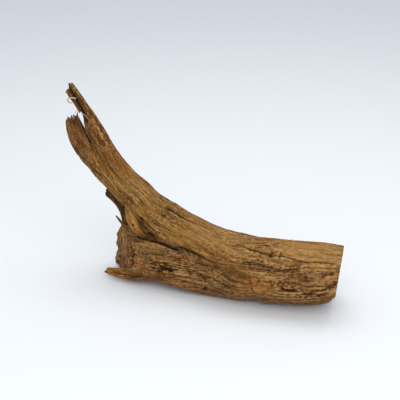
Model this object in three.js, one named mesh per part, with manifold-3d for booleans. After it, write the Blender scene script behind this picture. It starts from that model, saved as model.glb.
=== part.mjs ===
// A piece of ebony driftwood for an aquarium, about 27 cm long and 19 cm high, at real size in millimetres.
// +X runs along the log towards its sawn end, +Y runs away from the front and +Z is up.
// The log lies on its worn underside. To the left it forks: the upper branch sweeps up to two splintered
// tips, and the lower root ends in a broken stump with a spur of wood standing up behind it.
import * as THREE from "three";
import { mergeVertices } from "three/addons/utils/BufferGeometryUtils.js";
import Module from "manifold-3d";

const wasm = await Module();
wasm.setup();

// Driving dimensions
const LOG_HEIGHT = 66; // thickness of the log before its underside was worn
const LOG_DEPTH = 62; // thickness of the log from front to back
const SAWN_END_X = 131.5; // where the saw cut meets the log's middle line
const FORK_X = -14; // where the log parts into the upper branch and the stump
const SEAM = 0.3; // clearance between neighbouring pieces
const WORN_DEPTH = 2.2; // how much of the round underside has been worn away to a flat

// The saw cut leans back and turns a little to the rear.
const SAW_CUT_NORMAL = new THREE.Vector3(1, 0.032, -0.074).normalize();

// The branch parts into its two tips across this plane.
const TIP_FORK = new THREE.Vector3(-107, 14, 130);
const TIP_FORK_NORMAL = new THREE.Vector3(-0.62, 0.12, 0.77).normalize();

// Flutes of the weathered wood: how many run round a limb, how high they stand, and how they wander.
const FLUTES = [
  { count: 2, height: 0.7, wander: 0.8, length: 40 },
  { count: 3, height: 0.8, wander: 1.1, length: 31 },
  { count: 5, height: 0.8, wander: 1.4, length: 26 },
  { count: 7, height: 0.7, wander: 1.7, length: 21 },
  { count: 9, height: 0.5, wander: 1.9, length: 17 },
];
const FULL_FLUTE_LIMB = 16; // half height from which a limb has flutes of their full height
const SPLINTER_WIDTH = 5.5;

// Height of the flutes at an angle round a limb and a distance along it.
function flutes(angle, along, seed) {
  let height = 0;
  for (const flute of FLUTES) {
    const phase = flute.wander * Math.sin(along / flute.length + seed * flute.count);
    height += flute.height * Math.cos(flute.count * angle + phase + seed * flute.count);
  }
  return height;
}

// How far the splinters of a broken end stand out at a point of its section.
function splinters(across, depth, seed) {
  const one = Math.sin((Math.PI * across) / SPLINTER_WIDTH + seed);
  const other = Math.sin((Math.PI * depth) / SPLINTER_WIDTH + 2 * seed);
  return one * other + 0.6 * Math.sin((Math.PI * (across + 1.7 * depth)) / SPLINTER_WIDTH + seed);
}

// A spool along +Y whose radius is a share of a limb's section and whose height is a share of its length.
function spool(around, along, capRings) {
  const profile = [];
  const capRadius = (i) => Math.sin(((i / capRings) * Math.PI) / 2);
  for (let i = 0; i <= capRings; i++) {
    profile.push(new THREE.Vector2(capRadius(i), 1));
  }
  for (let i = along - 1; i > 0; i--) {
    profile.push(new THREE.Vector2(1, i / along));
  }
  for (let i = capRings; i >= 0; i--) {
    profile.push(new THREE.Vector2(capRadius(i), 0));
  }
  return bare(new THREE.LatheGeometry(profile, around));
}

// The same geometry with nothing but positions, and with its shared corners merged.
function bare(geometry) {
  geometry.deleteAttribute("normal");
  geometry.deleteAttribute("uv");
  return mergeVertices(geometry);
}

// A closed limb of wood. Each station is [x, y, z, half height, half depth], and swell adds to every side.
// A broken limb ends in a break that leans with slantUp and slantBack, with ragged splinters in it.
function limb({ stations, around, along, capRings = 3, rough = 1, seed = 0, swell = 0, broken }) {
  const curve = (points) => new THREE.CatmullRomCurve3(points, false, "catmullrom", 0.5);
  const route = curve(stations.map(([x, y, z]) => new THREE.Vector3(x, y, z)));
  const sizes = curve(stations.map(([, , , h, d]) => new THREE.Vector3(h, d, 0)));
  const lengths = route.getLengths(along);

  const geometry = spool(around, along, capRings);
  const position = geometry.getAttribute("position");
  const backwards = new THREE.Vector3(0, 1, 0);
  for (let i = 0; i < position.count; i++) {
    const spun = new THREE.Vector3().fromBufferAttribute(position, i);
    const t = THREE.MathUtils.clamp(spun.y, 0, 1);
    const point = route.getPoint(t);
    const size = sizes.getPoint(t);
    const forward = route.getTangent(t);
    const depthAxis = backwards.clone().addScaledVector(forward, -forward.y).normalize();
    const upAxis = depthAxis.clone().cross(forward).normalize();

    const angle = Math.atan2(spun.z, spun.x);
    const share = Math.hypot(spun.x, spun.z);
    const fluteScale = rough * Math.min(1, size.x / FULL_FLUTE_LIMB);
    const height = fluteScale * flutes(angle, lengths[Math.round(t * along)], seed);
    const across = spun.x * size.x;
    const depth = spun.z * size.y;
    const lift = share * (height + swell);
    point.addScaledVector(upAxis, across + Math.cos(angle) * lift);
    point.addScaledVector(depthAxis, depth + Math.sin(angle) * lift);
    if (broken) {
      const lean = broken.slantUp * across + broken.slantBack * depth;
      const reach = lean + broken.ragged * splinters(across, depth, seed) + swell;
      point.addScaledVector(forward, reach * THREE.MathUtils.smoothstep(t, broken.from, 1));
    }
    position.setXYZ(i, point.x, point.y, point.z);
  }
  return geometry;
}

// A closed geometry as a solid that can be joined and cut.
function solid(geometry) {
  return new wasm.Manifold(
    new wasm.Mesh({
      numProp: 3,
      vertProperties: new Float32Array(geometry.getAttribute("position").array),
      triVerts: new Uint32Array(geometry.index.array),
    }),
  );
}

const grown = (description, extra = {}) => solid(limb({ ...description, ...extra }));
const cleared = (description) => grown(description, { swell: SEAM + 0.1 });
const joined = (shapes) => shapes.reduce((all, shape) => all.add(shape));

// A slender pod of wood or of air that lies along its points and is drawn thin at both ends.
function pod(width, depth, points, { around = 5, steps = 2, thin = 0.3 } = {}) {
  const last = points.length - 1;
  const stations = points.map(([x, y, z], i) => {
    const share = i === 0 || i === last ? thin : 1;
    return [x, y, z, (share * width) / 2, (share * depth) / 2];
  });
  return grown({ stations, around, along: steps * last, capRings: 1, rough: 0 });
}

// All that lies beyond a plane, as a box much larger than the whole piece.
function beyond(point, normal) {
  const size = 10 * LOG_HEIGHT;
  const box = new THREE.BoxGeometry(size, size, size);
  box.translate(0, 0, size / 2);
  box.applyQuaternion(new THREE.Quaternion().setFromUnitVectors(new THREE.Vector3(0, 0, 1), normal));
  box.translate(point.x, point.y, point.z);
  return solid(bare(box));
}

// Both sides of a plane, each half a seam away from it.
function sides(point, normal) {
  const away = normal.clone().negate();
  const past = beyond(point.clone().addScaledVector(normal, SEAM / 2), normal);
  const before = beyond(point.clone().addScaledVector(away, SEAM / 2), away);
  return { past, before };
}

const halfHeight = LOG_HEIGHT / 2;
const halfDepth = LOG_DEPTH / 2;

// The log and its upper branch grew as one stem, from past the saw cut to where it runs out between the tips.
const stem = {
  seed: 1.7,
  around: 32,
  along: 42,
  stations: [
    [146, 0, 41, halfHeight - 8, halfDepth - 7],
    [132, 0, 39.5, halfHeight - 6.5, halfDepth - 6],
    [117, 0, 37, halfHeight - 4, halfDepth - 3.5],
    [96, 0, 34, halfHeight - 1, halfDepth - 1],
    [73, -1, 33, halfHeight, halfDepth],
    [50, -2, 32.5, halfHeight - 0.5, halfDepth],
    [28.5, -1, 36.4, halfHeight - 3.5, halfDepth - 2],
    [8.3, 0, 47.2, halfHeight - 9.5, halfDepth - 6],
    [-9.7, 1, 56.7, halfHeight - 13, halfDepth - 10],
    [-26.8, 1, 64.2, halfHeight - 12.5, halfDepth - 11.5],
    [-41, 2, 71, halfHeight - 11, halfDepth - 13],
    [-51.8, 2.5, 80, halfHeight - 14.3, halfDepth - 14],
    [-61.2, 4, 90, halfHeight - 16.6, halfDepth - 15],
    [-75.4, 6, 100.2, halfHeight - 17.6, halfDepth - 16],
    [-90, 9, 112, halfHeight - 16.5, halfDepth - 17.5],
    [-102, 12, 124, halfHeight - 15.5, halfDepth - 19.5],
    [-109, 15, 131, halfHeight - 20, halfDepth - 23.5],
    [-112.5, 17, 134.5, halfHeight - 27, halfDepth - 27.5],
  ],
};

// The lower root runs along the front of the log and ends in the broken stump.
const root = {
  seed: 6.1,
  around: 24,
  along: 20,
  capRings: 4,
  broken: { slantUp: -0.12, slantBack: 0.78, ragged: 1.8, from: 0.62 },
  stations: [
    [64, -1, 31, 20, 20],
    [44, -1, 31, 27, 26],
    [26, -1.5, 31.5, 29.5, 28],
    [8, -1.5, 31, 29.5, 27.5],
    [-8, -1.5, 29.5, 28, 25.5],
    [-24, -1, 28.5, 26.5, 24],
    [-40, 0, 27.5, 25.2, 23.2],
    [-56, 2, 27, 25, 22.5],
    [-68, 3, 27.5, 26.5, 22.5],
    [-79.5, 4, 28, 27, 21.5],
  ],
};

// A heel of the root at the back, which carries the stump's end.
const heel = {
  seed: 21.3,
  around: 10,
  along: 8,
  rough: 0.4,
  stations: [
    [-26, 12, 14, 9, 9],
    [-46, 15, 11, 8.5, 9],
    [-66, 17, 10, 8.5, 9],
    [-82, 18.5, 10, 8, 7.5],
    [-92, 19.5, 11, 6.5, 6],
  ],
};

// The reddish spike that sticks out of the stump's foot.
const spike = {
  seed: 18,
  around: 10,
  along: 10,
  rough: 0.5,
  stations: [
    [-52, -10, 12, 6, 7],
    [-66, -10, 10.5, 5.5, 6],
    [-78, -9.5, 10.3, 4.9, 4.5],
    [-88, -8.5, 10.5, 4.1, 3.4],
    [-93.5, -8, 11.2, 3, 2.2],
  ],
};

// A thin sliver that stands off the top of the stump.
const sliver = pod(2.6, 2.4, [[-70, 4, 46.5], [-79, 3, 58], [-86, 2, 67.5]], { around: 6, thin: 0.7 });

const longTip = {
  seed: 9.4,
  around: 12,
  along: 16,
  broken: { slantUp: 0.5, slantBack: 0, ragged: 1.2, from: 0.7 },
  stations: [
    [-88, 10, 118, 9, 7.5],
    [-98.6, 13, 135.2, 8.6, 7.5],
    [-108, 16.5, 149.8, 7.9, 6.6],
    [-113.8, 18.5, 158.9, 7, 5.9],
    [-119.8, 20.5, 166.9, 6, 5.4],
    [-126, 22.5, 174.4, 5.6, 5],
    [-132, 24, 181, 5.8, 4.8],
    [-134.5, 24.5, 185, 4.8, 4],
  ],
};

const shortTip = {
  seed: 12.9,
  around: 14,
  along: 12,
  broken: { slantUp: 0.2, slantBack: 0, ragged: 3, from: 0.45 },
  stations: [
    [-101, 12, 112, 9, 6],
    [-113, 15, 124, 11, 7.5],
    [-122, 17, 134.5, 10.5, 7],
    [-127.5, 18, 145, 9.5, 6],
    [-130, 18.5, 154, 8, 4.6],
  ],
};

const rearSpur = {
  seed: 15.2,
  around: 10,
  along: 12,
  broken: { slantUp: 0, slantBack: 0.2, ragged: 1.4, from: 0.75 },
  stations: [
    [-70, 14, 30, 7, 6],
    [-77, 14.3, 45, 6, 5],
    [-80, 14.6, 57, 6, 4.6],
    [-83.5, 15, 68, 6, 4.2],
    [-90, 15.5, 77.5, 5.2, 3.4],
    [-99, 16, 85, 3.6, 2.4],
  ],
};

// The long recess under the outer ledge of the branch, and the crack that runs on from it.
const recess = joined([
  pod(6, 13, [[-38, -7, 90], [-25, -9, 84.5], [-14, -10, 80], [-2, -11, 75.5], [10, -11, 71.5]]),
  pod(2.4, 8, [[2, -11, 73], [18, -13, 68.5], [30, -14, 65.5], [43, -14, 64]]),
]);
const ledge = pod(8, 10, [[-50, -1, 91], [-30, -4, 87], [-12, -6, 80], [4, -7, 74], [26, -8, 63.5]]);

// The dark valley between the stem and the lower root.
const valleyRoute = [
  [-72, -3, 55],
  [-59, -5, 51],
  [-47, -9, 49],
  [-34, -17, 52],
  [-22, -21, 54],
  [-8, -23, 54.5],
  [10, -26, 52],
  [24, -29, 49],
  [38, -32, 44],
];
const valley = pod(4.4, 13, valleyRoute);

// Drying cracks in the front and the back of the log.
const frontCracks = joined([
  pod(2.4, 8, [[38, -15, 66], [50, -16, 63.5], [62, -18, 61], [74, -20, 59.5]]),
  pod(2.2, 7, [[80, -21, 60], [97, -22, 57.5], [114, -21, 57], [133, -20, 58]]),
  pod(2.2, 6, [[80, -33, 34], [90, -33, 35], [101, -31, 34]]),
  pod(2.4, 7, [[97, -29, 25.5], [111, -29, 31], [123, -29, 36], [140, -27, 39]]),
  pod(2, 6, [[105, -28, 23.5], [117, -28, 28], [130, -26, 33]]),
  pod(2.6, 8, [[1, -25, 20.5], [7, -26, 23.5], [14, -28, 27.5]]),
]);
const backCracks = joined([
  pod(2.4, 8, [[120, 27, 40], [95, 31, 36], [66, 31, 38], [40, 28, 44]]),
  pod(2.2, 8, [[34, 29, 50], [54, 31, 47], [76, 30, 50], [100, 27, 53]]),
]);

// Hollows where side roots died: two in the front, the upper one in a swelling, and one in the back.
const knotSwelling = pod(17, 12, [[60, -13, 61], [76, -15, 59], [92, -13, 58]], { around: 8, steps: 3 });
const knotHollows = joined([
  pod(6.5, 9, [[69, -20, 61], [77, -20, 61], [84, -20, 60]], { around: 6 }),
  pod(5, 6, [[99, -28, 46], [106, -29, 45.5], [112, -28, 45]], { around: 7 }),
  pod(5, 8, [[30, 27, 52], [22, 27, 53], [14, 26, 55]], { around: 7 }),
]);

// Slots in the front of the stump above its spike.
const stumpSlots = joined([
  pod(2.8, 12, [[-52, -22, 32], [-42, -22, 31], [-32, -22, 29.5], [-20, -22, 29]]),
  pod(2.2, 9, [[-56, -22, 26], [-44, -22, 23.5], [-28, -22, 24]]),
]);

// The flake that is lifted off the foot of the branch, a borer's hole in it, and the hollow beside it.
const flake = pod(7, 6.5, [[-64, -12, 82], [-63, -11.5, 74], [-60.5, -11, 65], [-57, -9.5, 56]]);
const borerHole = pod(2, 2, [[-62.5, -18, 67.5], [-62, -12, 65.5], [-61.5, -5, 63]], { thin: 1 });
const flakeHollow = pod(5, 9, [[-55, -16, 82], [-52.5, -16, 75], [-50.5, -15, 66], [-48, -12, 55]]);

// The slot between the two tips, and the hollow along the inner side of the long one.
const tipSlot = pod(2.6, 14, [[-119, 14, 157], [-111, 10, 147], [-105, 6, 139], [-98, 2, 130]]);
const tipHollow = pod(5, 7, [[-109, 10, 150], [-117, 14, 160], [-123, 17, 170], [-134, 21, 188]]);

// The whole stem and root with all that is carved into them, before they are parted at the forks.
const stemHollows = joined([recess, frontCracks, backCracks, knotHollows, flakeHollow, borerHole]);
const stemSolid = joined([grown(stem), knotSwelling, ledge, flake]).subtract(stemHollows).subtract(valley);
const rootHollows = joined([stumpSlots, frontCracks, valley]);
const rootSolid = joined([grown(root), grown(heel), grown(spike), sliver]).subtract(rootHollows);
const longTipSolid = grown(longTip).subtract(tipHollow);
const shortTipSolid = grown(shortTip).subtract(tipSlot);

const aboveGround = beyond(new THREE.Vector3(0, 0, WORN_DEPTH), new THREE.Vector3(0, 0, 1));
const sawnOff = beyond(new THREE.Vector3(SAWN_END_X, 0, halfHeight), SAW_CUT_NORMAL);
const fork = sides(new THREE.Vector3(FORK_X, 0, 0), new THREE.Vector3(-1, 0, 0));
const tipFork = sides(TIP_FORK, TIP_FORK_NORMAL);

const trunk = stemSolid.add(rootSolid).intersect(fork.before).subtract(sawnOff).intersect(aboveGround);
const branchSolid = joined([stemSolid, longTipSolid, shortTipSolid]).subtract(tipSlot);
const upperBranch = branchSolid.intersect(fork.past).intersect(tipFork.before);
const brokenStump = rootSolid.intersect(fork.past).subtract(cleared(stem)).intersect(aboveGround);
const longTipPiece = longTipSolid.add(stemSolid).subtract(tipSlot).intersect(tipFork.past);
const roomBesideTip = cleared(longTip).add(cleared(stem));
const shortTipPiece = shortTipSolid.intersect(tipFork.past).subtract(roomBesideTip);
const spurPiece = grown(rearSpur).subtract(cleared(stem)).subtract(cleared(root));

// Finishes
const weatheredWood = new THREE.MeshStandardMaterial({ color: 0x86643f, roughness: 0.85, metalness: 0 });
const shadedWood = new THREE.MeshStandardMaterial({ color: 0x5a4129, roughness: 0.9, metalness: 0 });

function mesh(name, shape, material) {
  const { vertProperties, triVerts } = shape.getMesh();
  const geometry = new THREE.BufferGeometry();
  geometry.setAttribute("position", new THREE.BufferAttribute(vertProperties, 3));
  geometry.setIndex(new THREE.BufferAttribute(triVerts, 1));
  const piece = new THREE.Mesh(geometry, material);
  piece.name = name;
  return piece;
}

const driftwood = new THREE.Group();
driftwood.add(
  mesh("trunk", trunk, weatheredWood),
  mesh("upper_branch", upperBranch, weatheredWood),
  mesh("broken_stump", brokenStump, weatheredWood),
  mesh("long_tip", longTipPiece, weatheredWood),
  mesh("short_tip", shortTipPiece, weatheredWood),
  mesh("rear_spur", spurPiece, shadedWood),
);

// The origin is the bottom centre of the box around the whole piece.
const box = new THREE.Box3().setFromObject(driftwood);
const middle = box.getCenter(new THREE.Vector3());
for (const piece of driftwood.children) {
  piece.geometry.translate(-middle.x, -middle.y, -box.min.z);
}

export default driftwood;
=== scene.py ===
# %% [markdown]
# Ebony driftwood, modelled and finished step by step.
#
# The real thing is a root of a hard dark wood that lay in water for years. It is about 27 cm long. A thick
# log lies on its worn side and ends in a saw cut. At the other end it forks: the upper branch sweeps up to
# two splintered tips, and the lower root ends in a broken stump with a dark spur behind it.
#
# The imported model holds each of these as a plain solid. Here every solid gets a finer twin of the same form,
# and the twin carries what wind and water left: strands, ledges, drying cracks, hollow knots and torn fibres.

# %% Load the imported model
import math

import bpy
import numpy as np
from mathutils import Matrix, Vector


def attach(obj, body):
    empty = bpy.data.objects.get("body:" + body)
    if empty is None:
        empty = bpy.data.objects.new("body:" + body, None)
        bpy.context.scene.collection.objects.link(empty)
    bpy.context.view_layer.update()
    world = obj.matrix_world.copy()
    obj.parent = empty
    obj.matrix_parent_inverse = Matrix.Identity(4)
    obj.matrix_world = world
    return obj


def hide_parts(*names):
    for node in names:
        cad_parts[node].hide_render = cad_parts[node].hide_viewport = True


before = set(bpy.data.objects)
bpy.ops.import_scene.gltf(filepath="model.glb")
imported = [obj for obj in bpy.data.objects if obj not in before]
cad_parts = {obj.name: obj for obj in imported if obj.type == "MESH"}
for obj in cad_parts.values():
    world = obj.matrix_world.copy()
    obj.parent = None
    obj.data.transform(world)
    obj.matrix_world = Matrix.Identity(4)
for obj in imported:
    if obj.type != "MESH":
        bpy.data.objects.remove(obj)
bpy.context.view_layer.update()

MM = 0.001

# %% [markdown]
# The camera comes first, so that every later look at the work is from the same place. It stands a little to
# the right of the log and looks down on it, as one looks at a thing on a table. The image is square, and its
# width spans 368 mm where the wood stands.

# %% Camera
AZIMUTH = 16
ELEVATION = 25
CAMERA_DISTANCE = 0.7
FRAME_WIDTH = 0.368
AIM = Vector((0.0024, 0.002, 0.0937))


def look_from(azimuth, elevation):
    """The direction from the object to a camera at these angles in degrees."""
    turn, lift = math.radians(azimuth), math.radians(elevation)
    return Vector((math.sin(turn) * math.cos(lift), -math.cos(turn) * math.cos(lift), math.sin(lift)))


back = look_from(AZIMUTH, ELEVATION)
bpy.ops.object.camera_add(
    location=AIM + CAMERA_DISTANCE * back,
    rotation=(-back).to_track_quat("-Z", "Y").to_euler(),
)
camera = bpy.context.object
camera.name = "camera"
camera.data.sensor_width = 36
camera.data.lens = camera.data.sensor_width * CAMERA_DISTANCE / FRAME_WIDTH
bpy.context.scene.camera = camera
print("camera lens, mm:", round(camera.data.lens, 1))

# %% [markdown]
# Wood is best seen in soft light from all sides, which leaves only a pale shadow close under it. A bright sky
# gives most of that light. A wide lamp in front and one overhead add a little direction, so that grooves and
# ledges cast small shadows of their own. The view transform is Standard, so a colour on a surface comes out
# as it was mixed.


# %% Floor and light
def principled(name, color, roughness, specular=0.3):
    """A new material with one principled shader, and that shader."""
    material = bpy.data.materials.new(name)
    material.use_nodes = True
    shader = material.node_tree.nodes["Principled BSDF"]
    shader.inputs["Base Color"].default_value = (*color, 1)
    shader.inputs["Roughness"].default_value = roughness
    shader.inputs["Specular IOR Level"].default_value = specular
    return material, shader


def lamp(name, location, size, energy):
    """A soft square lamp that looks at the middle of the wood."""
    bpy.ops.object.light_add(type="AREA", location=location)
    light = bpy.context.object
    light.name = name
    light.data.size = size
    light.data.energy = energy
    light.rotation_euler = (AIM - Vector(location)).to_track_quat("-Z", "Y").to_euler()
    return light


bpy.ops.object.select_all(action="DESELECT")
bpy.ops.mesh.primitive_plane_add(size=12, location=(0, 0, -0.0002))
floor = bpy.context.object
floor.name = "floor"
floor_paint, _ = principled("pale_floor", (0.87, 0.875, 0.885), 0.7)
floor.data.materials.append(floor_paint)

lamp("overhead_lamp", (0.05, 0.2, 1.05), 0.7, 3.0)
lamp("front_lamp", (0.35, -0.8, 1.0), 1.0, 6.3)

world = bpy.data.worlds.new("pale_sky")
bpy.context.scene.world = world
world.use_nodes = True
sky = world.node_tree.nodes["Background"]
sky.inputs["Color"].default_value = (0.87, 0.93, 0.99, 1)
sky.inputs["Strength"].default_value = 0.74
bpy.context.scene.view_settings.view_transform = "Standard"

# %% [markdown]
# The wood grew, so nothing in it is straight. Every limb is described as its solid is: stations along its
# middle line, each with a place and the half height and half depth of the section there, all in mm. A smooth
# curve runs through the stations. The stations are counted from the first drawing of the log, and OFFSET
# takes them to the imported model, whose origin is the middle of its underside.

# %% Curves through stations
OFFSET = np.array([2.0433, 2.0233, -2.2])
BACKWARDS = np.array([0.0, 1.0, 0.0])


def unit(vectors):
    """The same vectors at length one."""
    return vectors / np.maximum(np.linalg.norm(vectors, axis=-1, keepdims=True), 1e-9)


def smooth_step(x, low, high):
    """0 below low, 1 above high, and a soft rise between them."""
    share = np.clip((x - low) / (high - low), 0, 1)
    return share * share * (3 - 2 * share)


def spline(points, t):
    """Places and slopes at the shares t of a smooth curve that runs through the points."""
    last = len(points) - 1
    ends = np.vstack([2 * points[0] - points[1], points, 2 * points[-1] - points[-2]])
    place = np.clip(t, 0, 1) * last
    first = np.minimum(place.astype(int), last - 1)
    w = (place - first)[..., None]
    a, b, c, d = (ends[first + i] for i in range(4))
    square = 2 * a - 5 * b + 4 * c - d
    cube = 3 * b - a - 3 * c + d
    position = b + 0.5 * ((c - a) * w + square * w**2 + cube * w**3)
    slope = 0.5 * ((c - a) + 2 * square * w + 3 * cube * w**2)
    return position, slope


def sections(stations, t):
    """Middle, half sizes, and the forward, up and depth directions of a limb at the shares t."""
    table = np.array(stations, float)
    middle, slope = spline(table[:, :3], t)
    size, _ = spline(table[:, 3:], t)
    forward = unit(slope)
    depth_axis = unit(BACKWARDS - forward * forward[..., 1:2])
    return middle, size, forward, np.cross(depth_axis, forward), depth_axis


print("a bend through three stations:", spline(np.array([[0, 0], [10, 5], [20, 0.0]]), np.array([0.25]))[0])

# %% [markdown]
# Wood needs irregularity at every size, and it must come out the same on each run. Gradient noise gives that:
# each corner of a grid of cells gets a direction from its own number, and the corners are blended smoothly.
# A wave length for each axis stretches the pattern, so long waves along the grain and short ones across it
# already look like fibres.


# %% Noise
def corner_number(x, y, z, seed):
    """A whole number that looks random but is the same for the same corner and seed."""
    mixed = (x * 374761393 + y * 668265263 + z * 1442695041 + seed * 974634777) & 0xFFFFFFFF
    mixed = ((mixed ^ (mixed >> 13)) * 1274126177) & 0xFFFFFFFF
    return mixed ^ (mixed >> 16)


def noise(points, waves, seed):
    """Smooth noise from about -1 to 1 at the points, with its wave length along each axis."""
    cells = points / np.array(waves, float)
    base = np.floor(cells)
    inside = cells - base
    base = base.astype(np.int64)
    fade = inside**3 * (inside * (inside * 6 - 15) + 10)
    total = np.zeros(points.shape[:-1])
    for corner in np.ndindex(2, 2, 2):
        number = corner_number(*(base[..., i] + corner[i] for i in range(3)), seed)
        pull = sum(
            (((number >> (10 * i)) & 1023) / 511.5 - 1) * (inside[..., i] - corner[i]) for i in range(3)
        )
        weight = np.prod([fade[..., i] if corner[i] else 1 - fade[..., i] for i in range(3)], axis=0)
        total += pull * weight
    return 1.7 * total


sample = noise(np.random.default_rng(1).uniform(0, 90, (4000, 3)), (9, 9, 9), 5)
print("noise from", round(sample.min(), 2), "to", round(sample.max(), 2))

# %% [markdown]
# The relief has two parts. The flutes are the broad swells that the solids have too, so the twins keep their
# outline. The weathered relief is finer: strands as thick as a match lie side by side with sharp grooves
# between them, layers end in small ledges, checks follow the grain, and insects left pits. All of it is laid
# out along the grain, in a space where the limb is straight, and it wanders a little as real grain does. Near
# a knot the grain is pressed together, so the strands swing round it.

# %% Flutes and weathered relief
# Each flute: how many run round a limb, how high they stand, and how far and how slowly they wander.
FLUTES = [(2, 0.7, 0.8, 40), (3, 0.8, 1.1, 31), (5, 0.8, 1.4, 26), (7, 0.7, 1.7, 21), (9, 0.5, 1.9, 17)]
FULL_FLUTE_LIMB = 16


def flutes(angle, along, seed):
    """Height of the flutes at an angle round a limb and a distance along it."""
    height = np.zeros(np.broadcast(angle, along).shape)
    for count, tall, wander, length in FLUTES:
        phase = wander * np.sin(along / length + seed * count)
        height += tall * np.cos(count * angle + phase + seed * count)
    return height


def groove_profile(waves):
    """Rounded bodies with a sharp groove between them, from 0 in the groove to 1 on top."""
    return np.clip(np.abs(waves) * 2.4, 0, 1) ** 0.6


# Wave lengths of the relief in mm, along the grain and twice across it.
LUMPS = (36, 18, 18)
LAYERS = (110, 12, 12)
STRANDS = (80, 4.4, 4.4)
FIBRES = (26, 2.3, 2.3)
CHECKS = (52, 6.5, 6.5)
CHECKED_PLACES = (34, 15, 15)
NICKS = (22, 1.9, 1.9)
PITS = (4, 2.2, 2.2)
COARSE_PLACES = (50, 20, 20)
# Heights and depths of the relief in mm.
LUMP_HEIGHT = 0.3
LEDGE_HEIGHT = 0.35
FIBRE_HEIGHT = 0.6
CHECK_DEPTH = 1.5
NICK_DEPTH = 0.3
PIT_DEPTH = 0.15
MEAN_WEAR = 0.3
LEDGE_START = 0.88
KNOT_PRESSURE = 0.6


def wandering_grain(spread, knots, number):
    """The straight space bent a little, as grain wanders, and pressed together round the knots."""
    wander = np.zeros_like(spread)
    for axis in (1, 2):
        wander[..., axis] = 1.6 * noise(spread, (60, 24, 24), number + axis)
        wander[..., axis] += 0.25 * noise(spread, (18, 8, 8), number + 10 + axis)
    for knot, reach, girth in knots:
        away = spread - knot
        near = np.exp(-((away[..., 0] / reach) ** 2) - (away[..., 1:] ** 2).sum(-1) / girth**2)
        wander[..., 1:] -= KNOT_PRESSURE * near[..., None] * away[..., 1:]
    return spread + wander


def weathering(spread, seed, knots=(), checked=1.0):
    """Relief in mm, how hollow it is, how high its strands stand, and the wandering grain itself."""
    number = int(seed * 10)
    grain = wandering_grain(spread, knots, number)
    lumps = noise(spread, LUMPS, number + 3)
    layers = 2.1 * noise(grain, LAYERS, number + 4)
    rise = layers - np.floor(layers)
    ledges = np.where(rise < LEDGE_START, rise / LEDGE_START, (1 - rise) / (1 - LEDGE_START))
    strands = groove_profile(noise(grain, STRANDS, number + 5))
    fibres = groove_profile(noise(grain, FIBRES, number + 6))
    cracked = checked * smooth_step(noise(spread, CHECKED_PLACES, number + 7), 0.15, 0.55)
    checks = np.exp(-((noise(grain, CHECKS, number + 8) / 0.045) ** 2)) * cracked
    nicks = smooth_step(noise(grain, NICKS, number + 14), 0.56, 0.80)
    pits = smooth_step(noise(grain, PITS, number + 9), 0.50, 0.80)
    coarse = smooth_step(noise(spread, COARSE_PLACES, number + 10), -0.5, 0.4)

    relief = LUMP_HEIGHT * lumps + LEDGE_HEIGHT * (ledges - 0.5) + (0.15 + 0.25 * coarse) * (strands - 0.6)
    relief += FIBRE_HEIGHT * (fibres - 0.6) - CHECK_DEPTH * checks - NICK_DEPTH * nicks - PIT_DEPTH * pits
    relief -= MEAN_WEAR
    # How hollow a place is darkens it in the finish as painted shade.
    hollow = 0.8 * checks + 0.15 * nicks + 0.08 * pits + 0.08 * (1 - strands) * (0.3 + 0.7 * coarse)
    hollow += 0.2 * (1 - fibres) + 0.05 * (1 - ledges)
    height = 0.3 * strands + 0.5 * fibres + 0.2 * ledges
    return relief, np.clip(hollow, 0, 1), height, grain


# %% [markdown]
# Some marks belong to this one piece and have a place of their own: the long recess under the outer ledge,
# the dark valley between branch and root, knots, slots and single cracks. Each is a line of points on the
# surface with a width and a depth. A groove pushes the surface in along the line, a ridge lifts it, and both
# run out thin at their ends.


# %% Marks along a line
def snapped(line, surface, pitch=3.0):
    """The line with a point every few mm, each moved to the nearest point of the surface."""
    corners = np.array(line, float)
    table = surface.reshape(-1, 3)
    dense = []
    for start, end in zip(corners, corners[1:]):
        steps = max(1, round(np.linalg.norm(end - start) / pitch))
        dense += [start + (end - start) * i / steps for i in range(steps)]
    dense.append(corners[-1])
    return np.array([table[np.argmin(((table - point) ** 2).sum(1))] for point in dense])


def near_line(places, line):
    """Distance of each place from a line of points, and how far along the line it is, from 0 to 1."""
    distance = np.full(len(places), 1e9)
    share = np.zeros(len(places))
    lengths = np.linalg.norm(np.diff(line, axis=0), axis=1)
    total = max(lengths.sum(), 1e-6)
    before = 0.0
    for start, end, length in zip(line, line[1:], lengths):
        along = np.clip((places - start) @ (end - start) / max(length, 1e-6) ** 2, 0, 1)
        gap = np.linalg.norm(places - start - along[:, None] * (end - start), axis=1)
        nearer = gap < distance
        distance[nearer] = gap[nearer]
        share[nearer] = ((before + along * length) / total)[nearer]
        before += length
    return distance, share


FULLY_HOLLOW_DEPTH = 3.0


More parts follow.
